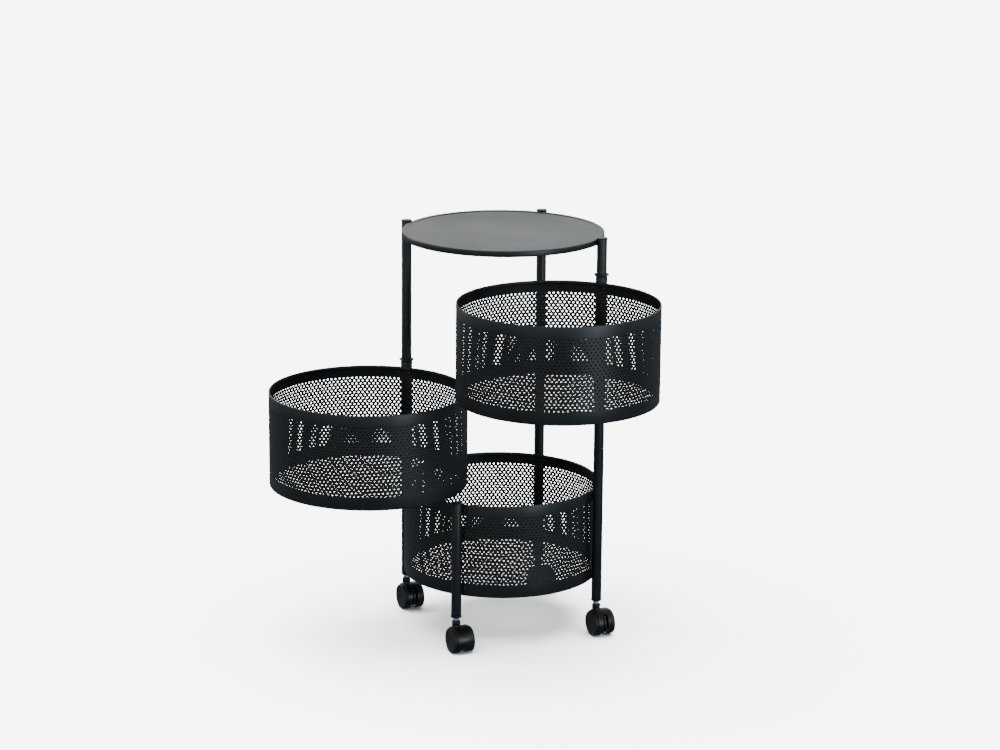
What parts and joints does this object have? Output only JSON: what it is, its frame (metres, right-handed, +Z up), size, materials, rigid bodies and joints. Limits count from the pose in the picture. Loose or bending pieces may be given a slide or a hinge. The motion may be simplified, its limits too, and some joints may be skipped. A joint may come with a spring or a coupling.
{
  "type": "rotating basket organizer trolley",
  "caption": "Wheeled round organizer: a tray on tube posts above round perforated steel baskets, the upper ones swinging out sideways about the posts, on twin-wheel casters.",
  "frame": {"origin": "on the floor under the middle of the outer box, with the upper baskets swung out", "axes": "+Z up; the swung-out baskets point towards -Y; the top basket pivots on the post at +X and the middle basket on the post at -X"},
  "size_m": [0.5862, 0.4693, 0.6025],
  "materials": {
    "powder_coat": "satin black powder coat",
    "end_plastic": "satin black plastic",
    "caster_plastic": "satin black plastic",
    "zinc_plate": "bright zinc plate"
  },
  "bodies": {
    "stand": {"top_tray": "powder_coat", "post_left": "powder_coat", "post_back": "powder_coat", "post_right": "powder_coat", "post_front": "powder_coat", "cap_left": "end_plastic", "cap_back": "end_plastic", "cap_right": "end_plastic", "cap_front": "end_plastic", "socket_left": "end_plastic", "socket_back": "end_plastic", "socket_right": "end_plastic", "socket_front": "end_plastic", "stem_left": "zinc_plate", "stem_back": "zinc_plate", "stem_right": "zinc_plate", "stem_front": "zinc_plate", "basket_wall_low": "powder_coat", "basket_floor_low": "powder_coat", "bracket_left_lower": "powder_coat", "bracket_left_upper": "powder_coat", "bracket_back_lower": "powder_coat", "bracket_back_upper": "powder_coat", "bracket_right_lower": "powder_coat", "bracket_right_upper": "powder_coat", "bracket_front_lower": "powder_coat", "bracket_front_upper": "powder_coat", "collar_middle_lower": "powder_coat", "collar_middle_upper": "powder_coat", "collar_top_lower": "powder_coat", "collar_top_upper": "powder_coat"},
    "middle_basket": {"basket_wall_middle": "powder_coat", "basket_floor_middle": "powder_coat", "pivot_sleeve_middle": "powder_coat"},
    "top_basket": {"basket_wall_top": "powder_coat", "basket_floor_top": "powder_coat", "pivot_sleeve_top": "powder_coat"},
    "caster_left": {"caster_hood_left": "caster_plastic", "axle_left": "zinc_plate"},
    "wheel_left_near": {"wheel_left_near": "caster_plastic"},
    "wheel_left_far": {"wheel_left_far": "caster_plastic"},
    "brake_lever_left": {"brake_lever_left": "caster_plastic"},
    "caster_back": {"caster_hood_back": "caster_plastic", "axle_back": "zinc_plate"},
    "wheel_back_near": {"wheel_back_near": "caster_plastic"},
    "wheel_back_far": {"wheel_back_far": "caster_plastic"},
    "caster_right": {"caster_hood_right": "caster_plastic", "axle_right": "zinc_plate"},
    "wheel_right_near": {"wheel_right_near": "caster_plastic"},
    "wheel_right_far": {"wheel_right_far": "caster_plastic"},
    "brake_lever_right": {"brake_lever_right": "caster_plastic"},
    "caster_front": {"caster_hood_front": "caster_plastic", "axle_front": "zinc_plate"},
    "wheel_front_near": {"wheel_front_near": "caster_plastic"},
    "wheel_front_far": {"wheel_front_far": "caster_plastic"}
  },
  "joints": [
    {"name": "top_basket_swing", "type": "hinge", "parent": "stand", "child": "top_basket", "pos_m": [0.15446, 0.06512, 0.3977], "axis": [0, 0, 1], "range_deg": [-87.6, 182.4]},
    {"name": "middle_basket_swing", "type": "hinge", "parent": "stand", "child": "middle_basket", "pos_m": [-0.15554, 0.06512, 0.2387], "axis": [0, 0, 1], "range_deg": [-182.8, 87.2]},
    {"name": "caster_left_swivel", "type": "hinge", "parent": "stand", "child": "caster_left", "pos_m": [-0.15554, 0.06512, 0.0435], "axis": [0, 0, 1], "continuous": true},
    {"name": "wheel_left_near_spin", "type": "hinge", "parent": "caster_left", "child": "wheel_left_near", "pos_m": [-0.14494, 0.05523, 0.019], "axis": [0.682, 0.7314, 0], "continuous": true},
    {"name": "wheel_left_far_spin", "type": "hinge", "parent": "caster_left", "child": "wheel_left_far", "pos_m": [-0.14494, 0.05523, 0.019], "axis": [0.682, 0.7314, 0], "continuous": true},
    {"name": "brake_lever_left_press", "type": "hinge", "parent": "caster_left", "child": "brake_lever_left", "pos_m": [-0.13655, 0.04742, 0.03087], "axis": [0.682, 0.7314, 0], "range_deg": [0, 8]},
    {"name": "caster_back_swivel", "type": "hinge", "parent": "stand", "child": "caster_back", "pos_m": [-0.00054, 0.22012, 0.0435], "axis": [0, 0, 1], "continuous": true},
    {"name": "wheel_back_near_spin", "type": "hinge", "parent": "caster_back", "child": "wheel_back_near", "pos_m": [0.01006, 0.21024, 0.019], "axis": [0.682, 0.7314, 0], "continuous": true},
    {"name": "wheel_back_far_spin", "type": "hinge", "parent": "caster_back", "child": "wheel_back_far", "pos_m": [0.01006, 0.21024, 0.019], "axis": [0.682, 0.7314, 0], "continuous": true},
    {"name": "caster_right_swivel", "type": "hinge", "parent": "stand", "child": "caster_right", "pos_m": [0.15446, 0.06512, 0.0435], "axis": [0, 0, 1], "continuous": true},
    {"name": "wheel_right_near_spin", "type": "hinge", "parent": "caster_right", "child": "wheel_right_near", "pos_m": [0.16506, 0.05523, 0.019], "axis": [0.682, 0.7314, 0], "continuous": true},
    {"name": "wheel_right_far_spin", "type": "hinge", "parent": "caster_right", "child": "wheel_right_far", "pos_m": [0.16506, 0.05523, 0.019], "axis": [0.682, 0.7314, 0], "continuous": true},
    {"name": "brake_lever_right_press", "type": "hinge", "parent": "caster_right", "child": "brake_lever_right", "pos_m": [0.17345, 0.04742, 0.03087], "axis": [0.682, 0.7314, 0], "range_deg": [0, 8]},
    {"name": "caster_front_swivel", "type": "hinge", "parent": "stand", "child": "caster_front", "pos_m": [-0.00703, -0.08974, 0.0435], "axis": [0, 0, 1], "continuous": true},
    {"name": "wheel_front_near_spin", "type": "hinge", "parent": "caster_front", "child": "wheel_front_near", "pos_m": [0.00357, -0.09963, 0.019], "axis": [0.682, 0.7314, 0], "continuous": true},
    {"name": "wheel_front_far_spin", "type": "hinge", "parent": "caster_front", "child": "wheel_front_far", "pos_m": [0.00357, -0.09963, 0.019], "axis": [0.682, 0.7314, 0], "continuous": true}
  ]
}
